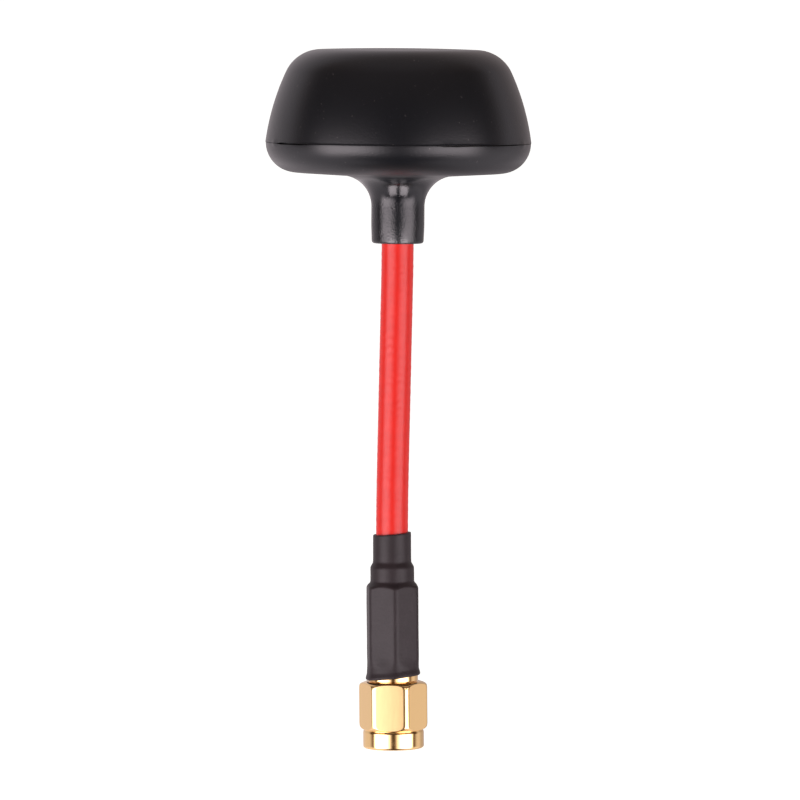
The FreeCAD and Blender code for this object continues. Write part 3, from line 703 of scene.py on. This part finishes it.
def add_head_base(seam):
    """Lower shell with its neck, fillet, rounded corner and the lip inside the joint."""
    corner = (BASE_RADIUS - BASE_CORNER_RADIUS, seam)
    fillet = (NECK_RADIUS + NECK_FILLET, NECK_LENGTH)
    floor_deg = UNDERSIDE_RISE_DEG - 90
    edge = (BASE_RADIUS - SEAM_ROUND, seam - SEAM_ROUND)
    edge_deg = -math.degrees(SEAM_ROUND / BASE_CORNER_RADIUS)
    mouth = NECK_MOUTH_RADIUS - NECK_EDGE_ROUND
    lip_inner = BASE_RADIUS - SHELL_WALL
    chamfer_radius = NECK_BORE_RADIUS + BORE_CHAMFER
    chamfer_top = underside(chamfer_radius, SHELL_WALL)
    profile = arc((mouth, NECK_EDGE_ROUND), NECK_EDGE_ROUND, -90, 0, 6)
    profile += line((NECK_MOUTH_RADIUS + 0.01, 0.5), (NECK_RADIUS, NECK_TAPER_LENGTH), 4)
    profile += line((NECK_RADIUS, NECK_TAPER_LENGTH + 0.5), (NECK_RADIUS, NECK_LENGTH - 0.1), 4)
    profile += arc(fillet, NECK_FILLET, 180, 90 + UNDERSIDE_RISE_DEG, 26)
    start = profile[-1]
    end = arc(corner, BASE_CORNER_RADIUS, floor_deg, floor_deg, 1)[0]
    profile += line(start, end, 8)[1:-1]
    profile += arc(corner, BASE_CORNER_RADIUS, floor_deg, edge_deg, 30)
    profile += arc(edge, SEAM_ROUND, 20, 90, 4)
    profile += [(LIP_RADIUS, seam), (LIP_RADIUS, seam + LIP_HEIGHT), (lip_inner, seam + LIP_HEIGHT)]
    profile += arc(corner, BASE_CORNER_RADIUS - SHELL_WALL, 0, floor_deg, 10)
    profile += [(chamfer_radius, chamfer_top), (NECK_BORE_RADIUS, chamfer_top - BORE_CHAMFER)]
    profile += [(NECK_BORE_RADIUS, 0.0)]
    rings = head_rings(profile, seam, BASE_SEED, upward=False)
    return skin("head_base_shell", rings, "radome_black", "antenna", ["radome_base"], crease_deg=30)


def add_head_cap(seam):
    """Upper shell: leaning side, rounded shoulder and slightly crowned top."""
    side = (
        CAP_RADIUS - CAP_SIDE_RADIUS * cosine(CAP_RIM_LEAN_DEG),
        seam - CAP_SIDE_RADIUS * sine(CAP_RIM_LEAN_DEG),
    )
    out = CAP_SIDE_RADIUS - CAP_SHOULDER_RADIUS
    shoulder = (side[0] + out * cosine(CAP_SHOULDER_DEG), side[1] + out * sine(CAP_SHOULDER_DEG))
    drop = math.sqrt((CAP_CROWN_RADIUS - CAP_SHOULDER_RADIUS) ** 2 - shoulder[0] ** 2)
    crown = (0.0, shoulder[1] - drop)
    crown_deg = math.degrees(math.atan2(drop, shoulder[0]))
    rim_deg = CAP_RIM_LEAN_DEG + math.degrees(SEAM_ROUND / CAP_SIDE_RADIUS)
    profile = arc(crown, CAP_CROWN_RADIUS, 90, crown_deg, 12)
    profile += arc(shoulder, CAP_SHOULDER_RADIUS, crown_deg, CAP_SHOULDER_DEG, 26)[1:]
    profile += arc(side, CAP_SIDE_RADIUS, CAP_SHOULDER_DEG, rim_deg, 34)[1:]
    profile += arc((CAP_RADIUS - SEAM_ROUND, seam + SEAM_ROUND), SEAM_ROUND, -10, -90, 4)
    inner_side = CAP_SIDE_RADIUS - SHELL_WALL
    rebate = LIP_RADIUS + REBATE_GAP
    rebate_top = seam + LIP_HEIGHT + REBATE_GAP
    inner_rim_deg = math.degrees(math.asin((rebate_top - side[1]) / inner_side))
    profile += [(rebate, seam), (rebate, rebate_top)]
    profile += arc(side, inner_side, inner_rim_deg, CAP_SHOULDER_DEG, 12)
    profile += arc(shoulder, CAP_SHOULDER_RADIUS - SHELL_WALL, CAP_SHOULDER_DEG, crown_deg, 10)[1:]
    profile += arc(crown, CAP_CROWN_RADIUS - SHELL_WALL, crown_deg, 90, 6)[1:]
    rings = head_rings(profile, seam, CAP_SEED, upward=True)
    return skin(
        "head_cap_shell", rings, "radome_black", "antenna", ["radome_cap"],
        crease_deg=30, poles=True,
    )


def add_top_light():
    """A wide dim panel overhead, which softly lights the faces that look up."""
    data = bpy.data.lights.new("top_panel", "AREA")
    data.shape = "RECTANGLE"
    data.size, data.size_y = TOP_LIGHT_SIZE
    data.energy = TOP_LIGHT_POWER
    light = bpy.data.objects.new("top_panel", data)
    light.location = TOP_LIGHT_PLACE
    light.visible_glossy = False
    bpy.context.scene.collection.objects.link(light)


def add_cards(base):
    """Two small cards of light under the head, which glint in the fillet above the neck only."""
    lit = bpy.data.collections.new("lit_by_cards")
    lit.objects.link(base)
    for place in CARD_PLACES:
        data = bpy.data.lights.new("card", "AREA")
        data.shape = "RECTANGLE"
        data.size, data.size_y = CARD_SIZE
        data.energy = CARD_POWER
        data.color = LIGHT_TINT
        card = bpy.data.objects.new("card", data)
        card.location = place
        card.rotation_euler = (math.radians(CARD_TILT_DEG), 0, 0)
        card.visible_camera = False
        card.visible_diffuse = False
        card.light_linking.receiver_collection = lit
        bpy.context.scene.collection.objects.link(card)


def add_floor():
    """Pale floor that also glows a little, so that it is as white as the photograph's ground."""
    bpy.ops.mesh.primitive_plane_add(size=FLOOR_SIZE, location=(0, 0, FLOOR_HEIGHT))
    floor = bpy.context.object
    floor.name = "studio_floor"
    made = Shader("studio_floor", FLOOR_COLOR, 0.8, Specular_IOR_Level=0.0)
    made.set("Emission Color", (*FLOOR_GLOW_TINT, 1))
    made.set("Emission Strength", FLOOR_GLOW)
    floor.data.materials.append(made.material)
    floor.visible_glossy = False
    floor.visible_shadow = False
    floor.visible_diffuse = False


class Sky:
    """Node shorthand for the surroundings."""

    def __init__(self, tree):
        self.tree = tree

    def node(self, kind):
        return self.tree.nodes.new(kind)

    def feed(self, value, socket):
        if isinstance(value, (int, float)):
            socket.default_value = value
        else:
            self.tree.links.new(value, socket)

    def math(self, operation, a, b=0.0):
        made = self.node("ShaderNodeMath")
        made.operation = operation
        self.feed(a, made.inputs[0])
        self.feed(b, made.inputs[1])
        return made.outputs[0]

    def step(self, value, low, high):
        """0 where value is low and 1 where it is high."""
        made = self.node("ShaderNodeMapRange")
        made.interpolation_type = "SMOOTHSTEP"
        made.inputs["From Min"].default_value = low
        made.inputs["From Max"].default_value = high
        self.feed(value, made.inputs["Value"])
        return made.outputs["Result"]

    def blend(self, factor, a, b):
        """a where factor is 0 and b where it is 1."""
        return self.math(
            "ADD", self.math("MULTIPLY", self.math("SUBTRACT", 1.0, factor), a),
            self.math("MULTIPLY", factor, b),
        )


def add_world():
    """Tall soft panels beside the camera, dark between them and white behind the object."""
    world = bpy.data.worlds.new("studio_world")
    bpy.context.scene.world = world
    world.use_nodes = True
    sky = Sky(world.node_tree)
    world.node_tree.nodes.clear()
    split = sky.node("ShaderNodeSeparateXYZ")
    sky.feed(sky.node("ShaderNodeTexCoord").outputs["Generated"], split.inputs[0])
    x, y, z = split.outputs
    toward = sky.math("MULTIPLY", y, -1.0)
    azimuth = sky.math("ARCTAN2", sky.math("ABSOLUTE", x), toward)
    elevation = sky.math("ARCSINE", z)

    def turn(angles_deg):
        return [math.radians(angle) for angle in angles_deg]

    panel = sky.math(
        "MULTIPLY", sky.step(azimuth, *turn(BOX_NEAR_DEG)),
        sky.math("SUBTRACT", 1.0, sky.step(azimuth, *turn(BOX_FAR_DEG))),
    )
    tall = sky.math(
        "MULTIPLY", sky.step(elevation, *turn(BOX_FOOT_DEG)),
        sky.math("SUBTRACT", 1.0, sky.step(elevation, *turn(BOX_HEAD_DEG))),
    )
    right = sky.step(x, -SIDE_BLEND, SIDE_BLEND)
    side = sky.blend(right, BOX_BRIGHTNESS, BOX_BRIGHTNESS * RIGHT_BOX_SHARE)
    panels = sky.math("MULTIPLY", sky.math("MULTIPLY", panel, tall), side)
    raised = sky.math("MULTIPLY", sky.math("MAXIMUM", elevation, 0.0), BACK_LEAN_SHARE)
    lean = sky.math("ADD", raised, sky.math("MINIMUM", elevation, 0.0))
    behind = sky.step(sky.math("SUBTRACT", azimuth, lean), *turn(BACK_START_DEG))
    depth = sky.math("MULTIPLY", z, -1.0)
    beneath = sky.math("MULTIPLY", sky.step(depth, *BENEATH_DEPTH), BENEATH_LOSS)
    behind = sky.math("MULTIPLY", behind, sky.math("SUBTRACT", 1.0, beneath))
    far_right = sky.math("MULTIPLY", right, sky.step(azimuth, *turn(BACK_RIGHT_DEG)))
    behind = sky.math("MULTIPLY", behind, sky.blend(far_right, 1.0, 1.0 - BACK_RIGHT_LOSS))
    low = sky.blend(sky.step(elevation, *turn(BACK_LOW_DEG)), 1.0 + BACK_LOW_GAIN, 1.0)
    high = sky.blend(sky.step(elevation, *turn(BACK_HIGH_DEG)), 1.0, 1.0 - BACK_HIGH_LOSS)
    behind = sky.math("MULTIPLY", behind, sky.math("MULTIPLY", low, high))
    around = sky.blend(behind, FRONT_BRIGHTNESS, BACK_BRIGHTNESS)
    over = sky.blend(sky.step(elevation, *turn(OVERHEAD_DEG)), around, OVERHEAD_BRIGHTNESS)
    total = sky.math("ADD", over, panels)
    lit = sky.node("ShaderNodeBackground")
    sky.feed(total, lit.inputs["Strength"])
    seen = sky.node("ShaderNodeBackground")
    tint = sky.node("ShaderNodeMix")
    tint.data_type = "RGBA"
    tint.inputs["A"].default_value = (*FRONT_TINT, 1)
    tint.inputs["B"].default_value = (*LIGHT_TINT, 1)
    sky.feed(sky.step(total, FRONT_BRIGHTNESS, FULL_TINT_BRIGHTNESS), tint.inputs["Factor"])
    sky.feed(tint.outputs["Result"], lit.inputs["Color"])
    seen.inputs["Color"].default_value = (1, 1, 1, 1)
    mix = sky.node("ShaderNodeMixShader")
    sky.feed(sky.node("ShaderNodeLightPath").outputs["Is Camera Ray"], mix.inputs["Fac"])
    sky.feed(lit.outputs["Background"], mix.inputs[1])
    sky.feed(seen.outputs["Background"], mix.inputs[2])
    sky.feed(mix.outputs["Shader"], sky.node("ShaderNodeOutputWorld").inputs["Surface"])


def add_camera():
    data = bpy.data.cameras.new("camera")
    data.lens = CAMERA_LENS_MM
    data.sensor_width = CAMERA_SENSOR_MM
    data.clip_start, data.clip_end = CAMERA_CLIP
    camera = bpy.data.objects.new("camera", data)
    tilt = Matrix.Rotation(math.radians(CAMERA_PITCH_DEG), 4, "X")
    roll = Matrix.Rotation(math.radians(CAMERA_ROLL_DEG), 4, "Z")
    camera.matrix_world = Matrix.Translation(CAMERA_PLACE) @ tilt @ roll
    bpy.context.scene.collection.objects.link(camera)
    bpy.context.scene.camera = camera


add_coupling_nut()
add_boot()
add_jacket()
seam_height = underside(BASE_RADIUS - BASE_CORNER_RADIUS, BASE_CORNER_RADIUS)
head_base = add_head_base(seam_height)
add_head_cap(seam_height)
add_top_light()
add_cards(head_base)
add_floor()
add_world()
add_camera()
bpy.context.scene.view_settings.view_transform = "Standard"
